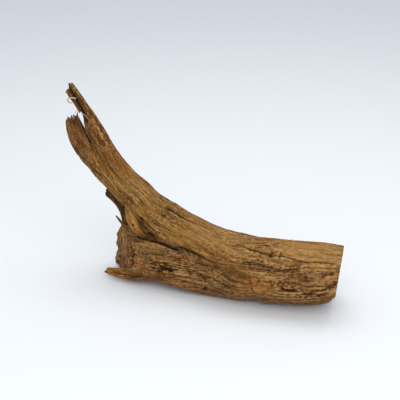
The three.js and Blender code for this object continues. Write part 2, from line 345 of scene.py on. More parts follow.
def carve(surface, outward, marks):
    """The surface pushed in or out along its marks, and how hollow they make it."""
    places = surface.reshape(-1, 3)
    moves = np.zeros(len(places))
    hollow = np.zeros(len(places))
    for index, trace in enumerate(marks):
        line = snapped(trace["line"], surface)
        reach = 3 * trace["width"] + 3
        low, high = line.min(0) - reach, line.max(0) + reach
        chosen = np.flatnonzero(((places > low) & (places < high)).all(1))
        if len(chosen) == 0:
            continue
        near = places[chosen]
        rough = np.stack([noise(near, (9, 9, 4), 70 + 3 * index + i) for i in range(3)], axis=-1)
        distance, share = near_line(near + trace.get("wander", 0.9) * rough, line)
        from_end = np.minimum(share + trace.get("open_start", 0), 1 - share + trace.get("open_end", 0))
        thin = np.clip(from_end / trace.get("ends", 0.18), 0, 1)
        width = trace["width"] / 2 * (0.25 + 0.75 * thin) * (1 + 0.3 * noise(near, (8, 8, 5), 90 + index))
        profile = np.exp(-((distance / width) ** trace.get("steep", 2.5))) * thin**0.7
        # Deep grooves get the darkest painted shade.
        depth = np.clip(-trace["height"] / FULLY_HOLLOW_DEPTH, 0, 1)
        moves[chosen] += trace["height"] * profile
        hollow[chosen] = np.maximum(hollow[chosen], depth * profile)
    moved = surface + outward * moves.reshape(surface.shape[:2])[..., None]
    return moved, hollow.reshape(surface.shape[:2])


# %% [markdown]
# Colour needs to know the wood too. Each corner of a face carries three small records: the grain, which is
# its place in the straightened limb, the tone, which says how hollow, how high and how torn it is, and the
# stain and light record, for the patches that are more ochre, more orange or more shaded. The shade in that
# record is partly the wood's own darker tone and partly painted shade, and below zero it is painted light.
# Its last part says how far the surface looks down, and there the undersides are painted greyer, a painted
# reflection of the bluish light from the floor. The records sit on the corners and not on the points,
# because a boolean cut carries corners over without a fault.
#
# The stains, the painted shade and the painted light are soft clouds around a few places, each with its own
# reach.

# %% Stains, painted shade and painted light
STAINS_AND_PAINTED_LIGHT = [
    # place, reach in x, y, z, and how much ochre and orange; the last darkens, partly as darker tone and
    # partly as painted shade, and below zero it lightens, mostly as painted light
    ((-12, -16, 67), (24, 14, 9), (0.9, 0.1, 0.0)),
    ((-48, -8, 84), (15, 12, 9), (0.7, 0.1, 0.0)),
    ((-61, -13, 72), (8, 9, 12), (0.9, 0.2, -0.4)),
    ((-53, -14, 61), (6, 7, 5), (0.0, 1.0, 0.2)),
    ((26, -24, 57), (22, 12, 7), (0.6, 0.2, 0.0)),
    ((97, 7, 64), (15, 10, 7), (2.4, 0.0, 1.2)),
    ((61, -31, 33), (12, 10, 6), (0.2, 0.9, -0.1)),
    ((44, -30, 42), (16, 8, 6), (0.4, 0.2, 0.0)),
    ((20, -28, 34), (26, 14, 12), (0.0, 0.0, 0.3)),
    ((-84, -8, 10), (16, 8, 6), (0.1, 0.9, 0.0)),
    ((-40, -20, 15), (30, 10, 7), (0.0, 0.45, 0.1)),
    ((-112, 10, 138), (20, 16, 18), (0.1, 0.35, 0.7)),
    ((-86, 4, 127), (18, 14, 12), (0.0, 0.55, 0.75)),
    ((-73, 3, 117), (12, 12, 8), (0.1, 0.3, 0.4)),
    ((-128, 18, 162), (18, 20, 22), (0.0, 0.45, 0.3)),
    ((-124, 15, 164), (7, 10, 14), (0.0, 0.1, 0.8)),
    ((-130, 20, 175), (6, 8, 8), (0.0, 0.1, 0.5)),
    ((-80, 0, 112), (24, 16, 20), (0.55, 0.15, 0.0)),
    ((-70, 0, 104), (14, 14, 9), (0.1, 0.0, -0.2)),
    ((0, -14, 68), (9, 12, 9), (0.1, 0.0, -0.5)),
    ((32, -29, 43), (26, 10, 7), (0.1, 0.0, 0.4)),
    ((62, -10, 63), (14, 12, 7), (0.0, 0.35, 0.4)),
    ((98, -26, 47), (26, 8, 5), (0.0, 0.1, 0.45)),
    ((107, -30, 38), (14, 8, 6), (0.0, 0.2, 0.3)),
    ((118, -4, 64), (14, 12, 7), (0.3, 0.0, -0.7)),
    ((-58, -17, 13), (14, 8, 6), (0.0, 0.1, 0.45)),
    ((-72, 8, 60), (12, 14, 14), (0.1, 0.0, -0.5)),
    ((-46, -15, 46), (16, 10, 8), (0.2, 0.0, -0.3)),
    ((-42, -14, 59), (7, 8, 7), (0.0, 0.0, 0.9)),
    ((-48, -13, 67), (6, 8, 8), (0.0, 0.1, 0.9)),
    ((-22, -2, 80), (13, 5, 5), (0.0, 0.0, 0.6)),
    ((-60, -6, 54), (9, 6, 4), (0.0, 0.0, 0.9)),
    ((-12, -20, 54), (14, 8, 6), (0.0, 0.0, 0.6)),
    ((24, -26, 46), (34, 10, 7), (0.0, 0.1, 0.7)),
    ((48, -31, 40), (12, 10, 6), (0.1, 0.3, 0.5)),
    ((17, -9, 67), (26, 14, 8), (0.2, 0.0, -0.7)),
    ((104, -10, 62), (36, 18, 8), (0.3, 0.0, -0.9)),
    ((102, -29, 44), (16, 8, 6), (0.0, 0.25, 0.5)),
    ((-38, -21, 22), (20, 10, 6), (0.0, 0.1, 0.4)),
    ((60, -33, 24), (24, 10, 7), (0.2, 0.0, -0.5)),
    ((-88, -8, 12), (10, 8, 6), (0.0, 0.3, -0.4)),
    ((-44, 2, 88), (30, 16, 12), (0.2, 0.0, -0.05)),
    ((-80, -4, 32), (9, 34, 24), (0.1, 0.15, -0.5)),
]
PAINTED_TOP_LIGHT = 0.45


def stain_and_painted_light_at(places, facing_up):
    """Ochre, orange and shade at each place, with painted light on what faces up."""
    total = np.zeros((*places.shape[:-1], 3))
    for middle, reach, amounts in STAINS_AND_PAINTED_LIGHT:
        away = (places - np.array(middle)) / np.array(reach)
        total += np.exp(-(away**2).sum(-1))[..., None] * np.array(amounts)
    # Painted light: what faces up is lightened, as if lit from above.
    total[..., 2] -= PAINTED_TOP_LIGHT * smooth_step(facing_up, 0.2, 1.0)
    return np.clip(total, -1, 1)


print(len(STAINS_AND_PAINTED_LIGHT), "stains")

# %% [markdown]
# A limb is made as a sheet of wood rolled round its middle line. A grid is the right primitive for that: its
# columns go round the limb and its rows run along it, with a few rows at each end that close in on the middle
# as a cap. Once the points are on the limb, the two long edges and the tips of the caps are merged, and the
# sheet is one closed skin. The rows are about 1 mm apart and the columns half a millimetre, fine enough for
# real grooves and not only painted ones.
#
# A sheet can also come out with its inner side outward. The volume inside it tells: it is below zero then,
# and the faces are flipped. A broken end leans and is ragged, since wood tears there. The cap of such an
# end stands in tufts of fibre, and on the stump the tufts stand upright, as they do in the photo.

# %% Grow one limb
SPLINTER_WIDTH = 5.5
# The saw cut: a point and the lean of its face, and the wear of its rim. Lengths are in mm, and the angle
# counts from the top of the limb.
SAWN_END = np.array([131.5, 0, 33])
SAW_CUT_NORMAL = unit(np.array([1, 0.032, -0.074]))
SAW_CUT_BLEND = 25.0
RIM_WEAR = 2.5
RIM_WEAR_SWING = 2.0
RIM_WORN_MOST = 2.9
RIM_WEAR_REACH = 8.0
# Where branch and root grew together: the size of the fillet, and stretches of x in mm.
FILLET = 9.0
GROWN_TOGETHER_X = (-62, 92)
FORK_CLOSES_X = (-34, -2)
LOG_MERGES_X = (20, 80)
VALLEY_FOOT = np.array([
    (-60, -39, -10.6, 4.7, 17.6, 29.1, 45, 57, 66),
    (56, 53.5, 53.1, 50.6, 48.4, 46.5, 43, 39, 0),
])


def splinters(across, depth, seed, width=SPLINTER_WIDTH):
    """How far the splinters of a broken end stand out at a point of its section."""
    one = np.sin(math.pi * across / width + seed)
    other = np.sin(math.pi * depth / width + 2 * seed)
    return one * other + 0.6 * np.sin(math.pi * (across + 1.7 * depth) / width + seed)


def grown_together(places, other, yields):
    """How far a limb swells where it runs into the other one, and how far it yields to it."""
    middle, size, _, up, deep = sections(other, np.linspace(0, 1, 120))
    flat = places.reshape(-1, 3)
    swelling = np.zeros(len(flat))
    near = np.flatnonzero((flat[:, 0] > GROWN_TOGETHER_X[0]) & (flat[:, 0] < GROWN_TOGETHER_X[1]))
    for part in np.array_split(near, 8):
        apart = flat[part][:, None] - middle
        closest = np.argmin((apart**2).sum(-1), axis=1)
        away = apart[np.arange(len(part)), closest]
        across = (away * up[closest]).sum(-1) / size[closest, 0]
        depth = (away * deep[closest]).sum(-1) / size[closest, 1]
        gap = (np.hypot(across, depth) - 1) * size[closest].min(-1)
        joint = smooth_step(flat[part, 0], *FORK_CLOSES_X) * (1 - smooth_step(flat[part, 0], *LOG_MERGES_X))
        swelling[part] = joint * np.clip(FILLET - np.abs(gap), 0, None) ** 2 / (4 * FILLET)
        if yields:
            swelling[part] -= below_valley(flat[part]) * np.clip(gap + 2.0, 0, 9)
    return swelling.reshape(places.shape[:-1])


def below_valley(places):
    """1 in front of the log under the dark valley, where the root covers the stem, and 0 elsewhere."""
    edge = np.interp(places[:, 0], VALLEY_FOOT[0], VALLEY_FOOT[1])
    under = smooth_step(edge - places[:, 2], -1, 5)
    return under * smooth_step(-places[:, 0], -70, -56) * smooth_step(-places[:, 1], 2, 9)


def rows_along(limb, angle):
    """How far along the limb each grid point lies in mm, its share of the whole, and where the saw cut is."""
    shares = np.linspace(0, 1, 1500)
    middles = sections(limb["stations"], shares)[0]
    arc = np.r_[0, np.cumsum(np.linalg.norm(np.diff(middles, axis=0), axis=1))]
    start = 0.0
    if limb.get("sawn"):
        start = np.interp(0, -((middles - SAWN_END) @ SAW_CUT_NORMAL), arc)
    rows = round((arc[-1] - start) / limb["pitch"]) + 1
    along = np.repeat(np.linspace(start, arc[-1], rows)[:, None], len(angle), axis=1)
    cut = np.full(len(angle), start)
    if limb.get("sawn"):
        for _ in range(5):
            middle, size, forward, up, deep = sections(limb["stations"], np.interp(cut, arc, shares))
            rim = middle + up * (np.cos(angle) * size[:, 0])[:, None]
            rim = rim + deep * (np.sin(angle) * size[:, 1])[:, None]
            cut = cut + ((rim - SAWN_END) @ SAW_CUT_NORMAL) / np.maximum(-(forward @ SAW_CUT_NORMAL), 0.5)
        along = along + (cut - start) * np.clip(1 - (along - start) / SAW_CUT_BLEND, 0, 1)
    return along, np.interp(along, arc, shares), cut


def corrections(limb, plain, outward):
    """What the limb gains or loses against its plain form: the fillet at a fork, and measured slimness."""
    gain = np.zeros(plain.shape[:-1])
    if limb.get("beside"):
        gain = gain + grown_together(plain, limb["beside"], limb.get("sawn"))
    if limb.get("slim"):
        gain = gain - np.interp(plain[..., 0], *np.transpose(limb["slim"]))
    if limb.get("under"):
        below = smooth_step(-outward[..., 2], 0.1, 0.8)
        gain = gain + below * np.interp(plain[..., 0], *np.transpose(limb["under"]))
    return gain


def worn_rim(angle, along, cut, spread):
    """How much is worn off the rim of the saw cut, most of it underneath."""
    worn = RIM_WEAR + RIM_WEAR_SWING * np.cos(angle - RIM_WORN_MOST) + 0.7 * noise(spread, (30, 9, 9), 44)
    return worn * np.clip(1 - (along - cut) / RIM_WEAR_REACH, 0, 1) ** 2.2


def torn_reach(limb, t, across, depth, spread):
    """How far the torn end reaches forward or back along the limb."""
    broken = limb["broken"]
    lean = broken["slant_up"] * across + broken["slant_back"] * depth
    reach = lean + broken["ragged"] * splinters(across, depth, limb["seed"])
    reach = reach * smooth_step(t, broken["start"], 1)
    return reach + broken.get("rim", 0.8) * noise(spread, (60, 8, 8), 47) * smooth_step(t, 0.9, 1)


def nearest(plain, place):
    """The number of the grid point nearest to a place."""
    return int(np.argmin(((plain.reshape(-1, 3) - np.array(place)) ** 2).sum(1)))


def rolled_places(limb):
    """Places, spread and finish of the grid's points for one limb, row by row."""
    seed = limb["seed"]
    angle = np.linspace(0, 2 * math.pi, limb["around"] + 1)
    along, t, cut = rows_along(limb, angle)
    middle, size, forward, up, deep = sections(limb["stations"], t)
    across = np.cos(angle) * size[..., 0]
    depth = np.sin(angle) * size[..., 1]
    plain = middle + up * across[..., None] + deep * depth[..., None]
    outward = unit(up * np.cos(angle)[:, None] + deep * np.sin(angle)[:, None])

    girth = np.median(size, axis=(0, 1))
    even = np.ones_like(along)
    spread = np.stack([along, even * np.cos(angle) * girth[0], even * np.sin(angle) * girth[1]], axis=-1)
    knots = [(spread.reshape(-1, 3)[nearest(plain, place)], reach, wide)
             for place, reach, wide in limb.get("knots", ())]
    relief, hollow, height, grain = weathering(spread, seed, knots, limb.get("checked", 1))
    rough = limb.get("rough", 1) * np.minimum(1, size[..., 0] / FULL_FLUTE_LIMB)
    lift = rough * flutes(angle, along, seed) + limb.get("relief", 1) * relief
    lift = lift + corrections(limb, plain, outward)
    if limb.get("sawn"):
        lift = lift - worn_rim(angle, along, cut, spread)

    surface, carved = carve(plain + outward * lift[..., None], outward, limb.get("marks", []))
    # "dark" darkens a whole limb; in the holes and the notch it is painted shade.
    hollow = np.maximum(np.maximum(hollow, limb.get("dark", 0)), carved)
    torn = np.zeros_like(hollow)
    if limb.get("broken"):
        surface = surface + forward * torn_reach(limb, t, across, depth, spread)[..., None]
        torn = smooth_step(t, 0.93, 1)
    if limb.get("sawn"):
        past = (surface[0] - SAWN_END) @ SAW_CUT_NORMAL
        surface[0] -= past[:, None] * SAW_CUT_NORMAL
    return dict(surface=surface, spread=grain, hollow=hollow, height=height, torn=torn, forward=forward,
                facing_up=outward[..., 2], size=size, angle=angle)


def cap_relief(limb, face, end, share):
    """How far a cap stands out along the limb at each of its points, in mm."""
    seed = int(limb["seed"] * 10) + (7 if end else 3)
    if limb.get("smooth"):
        return np.zeros_like(face[..., 0])
    inner = smooth_step(1 - share, 0.0, 0.05)
    if limb.get("sawn") and not end:
        kerf = 0.10 * np.sin(face[..., 2] * 2.1 + 0.6 * face[..., 1] + noise(face, (30, 30, 30), seed))
        return inner * (kerf + 0.15 * noise(face, (50, 5, 5), seed + 2))
    tall = limb.get("tuft", 1.6)
    high, deep = limb.get("tuft_waves", (5.5, 2.2))
    tufts = tall * (groove_profile(noise(face, (50, high, deep), seed)) - 0.5)
    tufts += limb.get("tuft_fuzz", 0.6) * tall * noise(face, (50, 0.45 * high, 0.6 * deep), seed + 1)
    tufts += 0.5 * tall * noise(face, (50, 11, 8), seed + 2)
    return inner * tufts


def cap_rows(limb, grown, end):
    """The rows of one cap, from its tip to its rim. The end is 0 at the foot of the limb and 1 at its top."""
    last = -1 if end else 0
    sawn_face = bool(limb.get("sawn")) and not end
    rings = limb["cap_rings"]
    share = (np.arange(rings) / rings)[:, None]
    rim = grown["surface"][last]
    middle = rim[:-1].mean(0)
    inner = middle + share[..., None] * (rim - middle)
    spread_rim = grown["spread"][last]
    spread_middle = spread_rim[:-1].mean(0)
    spread = spread_middle + share[..., None] * (spread_rim - spread_middle)
    direction = SAW_CUT_NORMAL if sawn_face else grown["forward"][last].mean(0) * (1 if end else -1)
    stand = cap_relief(limb, spread, end, share)
    if end and limb.get("broken"):
        broken = limb["broken"]
        size = grown["size"][-1].mean(0)
        across = share * np.cos(grown["angle"]) * size[0]
        depth = share * np.sin(grown["angle"]) * size[1]
        wanted = broken["slant_up"] * across + broken["slant_back"] * depth
        wanted = wanted + broken["ragged"] * splinters(across, depth, limb["seed"])
        stand = stand + (wanted - (inner - middle) @ direction) * smooth_step(1 - share, 0.0, 0.12)
        spread = spread * np.array([1, limb.get("standing", 1.0), 1])
    level = np.clip(0.5 + stand / 3, 0, 1)
    # The low places between the tufts get painted shade.
    return dict(
        surface=inner + direction * stand[..., None],
        spread=spread,
        hollow=np.zeros_like(level) if sawn_face else np.clip(0.42 - 1.1 * (level - 0.3), 0, 1),
        height=level,
        torn=np.ones_like(level),
        facing_up=np.zeros_like(level),
    )


def closed_rows(limb, grown):
    """The rows of the limb with the rows of both caps, from one tip to the other."""
    foot, top = cap_rows(limb, grown, 0), cap_rows(limb, grown, 1)
    return {key: np.concatenate([foot[key], grown[key], top[key][::-1]]) for key in foot}


def volume_of(mesh):
    """The volume inside a mesh in cubic cm, below zero if its faces look inward."""
    mesh.calc_loop_triangles()
    corners = np.empty(len(mesh.loop_triangles) * 3, np.int32)
    mesh.loop_triangles.foreach_get("vertices", corners)
    places = np.empty(len(mesh.vertices) * 3, np.float32)
    mesh.vertices.foreach_get("co", places)
    a, b, c = places.reshape(-1, 3)[corners.reshape(-1, 3)].transpose(1, 0, 2) / MM / 10
    return float((a * np.cross(b, c)).sum() / 6)


def grow(name, limb):
    """A closed limb of wood as a mesh object."""
    rows = closed_rows(limb, rolled_places(limb))
    count, columns = rows["hollow"].shape
    bpy.ops.object.select_all(action="DESELECT")
    bpy.ops.mesh.primitive_grid_add(x_subdivisions=columns - 1, y_subdivisions=count - 1, size=2)
    piece = bpy.context.object
    piece.name = name
    mesh = piece.data
    flat = np.empty(len(mesh.vertices) * 3, np.float32)
    mesh.vertices.foreach_get("co", flat)
    flat = flat.reshape(-1, 3)
    column = np.rint((flat[:, 0] + 1) / 2 * (columns - 1)).astype(int)
    row = np.rint((flat[:, 1] + 1) / 2 * (count - 1)).astype(int)
    places = rows["surface"][row, column]
    mesh.vertices.foreach_set("co", ((places + OFFSET) * MM).astype(np.float32).ravel())

    corner = np.empty(len(mesh.loops), np.int32)
    mesh.loops.foreach_get("vertex_index", corner)
    grain = rows["spread"][row, column][corner] * MM
    tone = np.stack([rows[key][row, column][corner] for key in ("hollow", "height", "torn")], axis=-1)
    stain_and_light = stain_and_painted_light_at(places, rows["facing_up"][row, column])[corner]
    whole = np.ones((len(corner), 1))
    # How far the surface faces down, for a painted reflection of floor light that greys the undersides.
    below = smooth_step(-rows["facing_up"], 0.1, 0.8)[row, column][corner][:, None]
    layer = mesh.attributes.new("grain", "FLOAT_VECTOR", "CORNER")
    layer.data.foreach_set("vector", grain.astype(np.float32).ravel())
    for label, values, last in (("tone", tone, whole), ("stain_and_light", stain_and_light, below)):
        layer = mesh.attributes.new(label, "FLOAT_COLOR", "CORNER")
        layer.data.foreach_set("color", np.hstack([values, last]).astype(np.float32).ravel())
    for material in limb.get("finishes", (wood, sawn)):
        mesh.materials.append(material)
    if limb.get("sawn"):
        on_the_cut = row[corner[::4]] < limb["cap_rings"]
        mesh.polygons.foreach_set("material_index", on_the_cut.astype(np.int32))

    bpy.ops.object.mode_set(mode="EDIT")
    bpy.ops.mesh.select_all(action="SELECT")
    bpy.ops.mesh.remove_doubles(threshold=1e-6)
    bpy.ops.mesh.normals_make_consistent(inside=False)
    bpy.ops.object.mode_set(mode="OBJECT")
    if volume_of(mesh) < 0:
        bpy.ops.object.mode_set(mode="EDIT")
        bpy.ops.mesh.flip_normals()
        bpy.ops.object.mode_set(mode="OBJECT")
    print(name, len(mesh.polygons), "faces", round(volume_of(mesh), 2), "cm3")
    return piece


# %% [markdown]
# Finishes. The wood is brown with ochre, orange and grey in it, drawn out along the grain in streaks from
# fine to broad. The streaks read the grain record, so they bend with the limb and part around the knots.
# Grooves and hollows are darkened with painted shade, and the undersides are painted greyer, a painted
# reflection of the floor. The surface is dry and dull.
#
# A photo of old wood shows three sizes of mark along the grain. There are streaks some cm long, dark seams
# and pale threads thinner than a mm, and a short grit of pores. Each is a noise of its own, drawn out by its
# own wave lengths, and their sum picks a colour between umber and straw. The streaks also raise a small bump,
# so they catch the light as fibres do.


# %% Node helpers
def add_node(tree, kind, **settings):
    """A new node with its settings and the values of its inputs."""
    made = tree.nodes.new(kind)
    for name, value in settings.items():
        if name == "values":
            for socket, number in value.items():
                made.inputs[socket].default_value = number
        else:
            setattr(made, name, value)
    return made


def streaks(tree, source, waves, detail=2.0, roughness=0.6):
    """Noise drawn out along the grain, with its wave lengths in mm."""
    mapping = add_node(tree, "ShaderNodeMapping", values={"Scale": [1000 / wave for wave in waves]})
    texture = add_node(
        tree, "ShaderNodeTexNoise", values={"Scale": 1.0, "Detail": detail, "Roughness": roughness}
    )
    tree.links.new(source, mapping.inputs["Vector"])
    tree.links.new(mapping.outputs["Vector"], texture.inputs["Vector"])
    return texture.outputs["Fac"]


def seams(tree, source, waves, width, shift=0.0):
    """Thin lines along the grain, 1 on the line and 0 beside it."""
    mapping = add_node(
        tree, "ShaderNodeMapping", values={"Scale": [1000 / wave for wave in waves], "Location": [shift] * 3}
    )
    texture = add_node(tree, "ShaderNodeTexNoise", values={"Scale": 1.0, "Detail": 1.0, "Roughness": 0.5})
    tree.links.new(source, mapping.inputs["Vector"])
    tree.links.new(mapping.outputs["Vector"], texture.inputs["Vector"])
    away = math_node(tree, "ABSOLUTE", math_node(tree, "SUBTRACT", texture.outputs["Fac"], 0.5))
    line = add_node(
        tree, "ShaderNodeMapRange", interpolation_type="SMOOTHSTEP", values={2: width, 3: 1.0, 4: 0.0}
    )
    tree.links.new(away, line.inputs["Value"])
    return line.outputs["Result"]


def math_node(tree, operation, first, second=None, third=None, clamp=False):
    """One sum of sockets or numbers."""
    made = add_node(tree, "ShaderNodeMath", operation=operation, use_clamp=clamp)
    for socket, value in zip(made.inputs, (first, second, third)):
        if value is None:
            continue
        if isinstance(value, (int, float)):
            socket.default_value = value
        else:
            tree.links.new(value, socket)
    return made.outputs[0]


def weighted_sum(tree, parts, start=0.0):
    """The sum of sockets, each times its weight."""
    total = start
    for socket, weight in parts:
        total = math_node(tree, "MULTIPLY_ADD", socket, weight, total)
    return total


def ramp(tree, factor, stops):
    """Colours at the given shares of the factor."""
    made = add_node(tree, "ShaderNodeValToRGB")
    elements = made.color_ramp.elements
    while len(elements) < len(stops):
        elements.new(0.5)
    for element, (place, color) in zip(elements, stops):
        element.position = place
        element.color = (*color, 1)
    tree.links.new(factor, made.inputs["Fac"])
    return made.outputs["Color"]


def graded(tree, factor, first, last):
    """A share that goes from one value to another between two places of the factor."""
    return ramp(tree, factor, [(place, (share, share, share)) for place, share in (first, last)])


def blend_colors(tree, factor, under, over):
    """One colour over another, where the factor says."""
    made = add_node(tree, "ShaderNodeMix", data_type="RGBA", blend_type="MIX")
    for socket, value in zip((made.inputs[0], made.inputs[6], made.inputs[7]), (factor, under, over)):
        if isinstance(value, (int, float)):
            socket.default_value = value
        elif isinstance(value, tuple):
            socket.default_value = (*value, 1)
        else:
            tree.links.new(value, socket)
    return made.outputs[2]


def layered(tree, color, layers):
    """A colour with others laid over it one by one, each where its factor says."""
    for factor, over in layers:
        color = blend_colors(tree, factor, color, over)
    return color


def bumped(tree, shader, height, strength, distance):
    """Let a height raise the shader's surface, by a distance in metres."""
    bump = add_node(tree, "ShaderNodeBump", values={"Strength": strength, "Distance": distance})
    tree.links.new(height, bump.inputs["Height"])
    tree.links.new(bump.outputs["Normal"], shader.inputs["Normal"])


def wood_records(tree):
    """The grain, and the parts of tone and stain, as sockets."""
    grain = add_node(tree, "ShaderNodeAttribute", attribute_name="grain")
    parts = [grain.outputs["Vector"]]
    for label in ("tone", "stain_and_light"):
        layer = add_node(tree, "ShaderNodeAttribute", attribute_name=label)
        split = add_node(tree, "ShaderNodeSeparateColor")
        tree.links.new(layer.outputs["Color"], split.inputs["Color"])
        parts += [split.outputs["Red"], split.outputs["Green"], split.outputs["Blue"]]
    return parts + [layer.outputs["Alpha"]]


# %% Weathered wood
DARK = (0.018, 0.009, 0.004)
UMBER = (0.066, 0.026, 0.0085)
BROWN = (0.186, 0.077, 0.0205)
TAN = (0.312, 0.142, 0.039)
STRAW = (0.480, 0.256, 0.087)
PALE = (0.610, 0.375, 0.155)
OCHRE = (0.400, 0.205, 0.033)
ORANGE = (0.400, 0.132, 0.022)
GREY = (0.145, 0.082, 0.042)
TORN = (0.20, 0.088, 0.036)


def weathered_wood(name, darker=0.0):
    """Dry brown wood with streaks along its grain, with as much painted shade over it as darker says."""
    material, shader = principled(name, BROWN, 0.85, specular=0.08)
    tree = material.node_tree
    grain, hollow, height, torn, ochre, orange, shade, below = wood_records(tree)

    broad = streaks(tree, grain, (45, 11, 11), 3)
    middle = streaks(tree, grain, (50, 3.0, 3.0), 3)
    fine = streaks(tree, grain, (30, 2.0, 2.0), 2, 0.7)
    flecks = streaks(tree, grain, (7, 2.0, 2.0), 2, 0.7)
    specks = streaks(tree, grain, (4.0, 1.8, 1.8), 2, 0.7)
    grit = streaks(tree, grain, (3.2, 1.5, 1.5), 1, 0.6)
    breaks = streaks(tree, grain, (44, 6, 6), 2, 0.5)
    patches = streaks(tree, add_node(tree, "ShaderNodeTexCoord").outputs["Object"], (46, 34, 26), 3)
    dark_there = graded(tree, breaks, (0.49, 0), (0.60, 1))
    pale_there = graded(tree, breaks, (0.40, 1), (0.54, 0))
    thin_seams = seams(tree, grain, (36, 2.8, 2.8), 0.070)
    deep_seams = math_node(tree, "MULTIPLY", seams(tree, grain, (44, 3.6, 3.6), 0.075), dark_there)
    threads = math_node(tree, "MULTIPLY", seams(tree, grain, (26, 3.0, 3.0), 0.070, shift=7.3), pale_there)

    parts = [(middle, 0.15), (fine, 2.05), (flecks, 0.60), (specks, 1.00), (grit, 2.10), (broad, 0.10),
             (height, 0.16)]
    value = weighted_sum(tree, parts, -2.65 - 0.12 * darker)
    color = ramp(tree, value, [(0.24, UMBER), (0.37, BROWN), (0.50, TAN), (0.70, STRAW)])
    color = layered(tree, color, [
        (math_node(tree, "MULTIPLY", threads, 0.60), PALE),
        (math_node(tree, "MULTIPLY", thin_seams, 0.60), UMBER),
        (math_node(tree, "MULTIPLY", deep_seams, 0.40), DARK),
        (graded(tree, patches, (0.45, 0), (0.62, 0.18)), GREY),
        # Painted reflection: the undersides greyer, for the bluish light that the floor throws up.
        (math_node(tree, "MULTIPLY", below, 0.4), GREY),
        (graded(tree, broad, (0.50, 0), (0.66, 0.28)), ORANGE),
        (math_node(tree, "MULTIPLY", ochre, math_node(tree, "MULTIPLY_ADD", middle, 0.9, 0.1)), OCHRE),
        (math_node(tree, "MULTIPLY", orange, math_node(tree, "MULTIPLY_ADD", fine, 0.8, 0.1)), ORANGE),
        (math_node(tree, "MULTIPLY", torn, 0.35), TORN),
        # The shade record darkens, partly as painted shade, and below zero it lightens as painted light.
        (math_node(tree, "MULTIPLY", shade, 0.6, clamp=True), UMBER),
        (math_node(tree, "MULTIPLY", shade, -0.45, clamp=True), STRAW),
        # Painted shade in grooves, cracks and hollows.
        (math_node(tree, "MULTIPLY_ADD", hollow, 1.05, -0.09, clamp=True), DARK),
        # Painted shade over the whole of the shaded copy.
        (0.6 * darker, DARK),
    ])
    tree.links.new(color, shader.inputs["Base Color"])
    tree.links.new(math_node(tree, "MULTIPLY_ADD", fine, 0.2, 0.72), shader.inputs["Roughness"])
    raised = [(flecks, 1.0), (grit, 1.0), (fine, 1.7), (threads, 0.25)]
    sunk = [(thin_seams, -0.35), (deep_seams, -0.70)]
    bumped(tree, shader, weighted_sum(tree, raised + sunk), 1.0, 0.0011)
    return material


# %% [markdown]
# The log ends in an old saw cut. There the rings show, uneven in width and tone, round a heart that lies a
# little above the middle. Fine checks run from the heart outward, pores and saw marks roughen the wood, and
# the rim is darker, because water and dirt came in from the side. Rings could be a wave texture, but that
# draws them evenly, like a target. So a noise of one dimension reads the distance from the heart, and a
# second one reads the angle round it and draws the checks.

# %% Sawn wood
HEART = (0.1345, 0.004, 0.034)
HEARTWOOD = (0.050, 0.021, 0.009)
CUT_BROWN = (0.150, 0.068, 0.025)
CUT_TAN = (0.27, 0.138, 0.054)
CUT_STRAW = (0.38, 0.22, 0.105)
STAINED_RIM = (0.115, 0.045, 0.014)
FIBRE = (0.52, 0.42, 0.30)


def one_way_noise(tree, source, scale, detail):
    """Noise that changes along one measure only."""
    texture = add_node(
        tree, "ShaderNodeTexNoise", noise_dimensions="1D", values={"Scale": scale, "Detail": detail}
    )
    tree.links.new(source, texture.inputs["W"])
    return texture.outputs["Fac"]


def radial_checks(tree, place, angle, distance):
    """Drying checks that run out from the heart, 1 in the check and 0 beside it."""
    rays = one_way_noise(tree, angle, 4.0, 1.0)
    away = math_node(tree, "ABSOLUTE", math_node(tree, "SUBTRACT", rays, 0.5))
    away = math_node(tree, "MULTIPLY", away, math_node(tree, "MULTIPLY", distance, 60))
    closed = graded(tree, streaks(tree, place, (14, 14, 14)), (0.47, 0), (0.56, 0.06))
    line = add_node(
        tree, "ShaderNodeMapRange", interpolation_type="SMOOTHSTEP", values={2: 0.028, 3: 1.0, 4: 0.0}
    )
    tree.links.new(math_node(tree, "ADD", away, closed), line.inputs["Value"])
    return line.outputs["Result"]


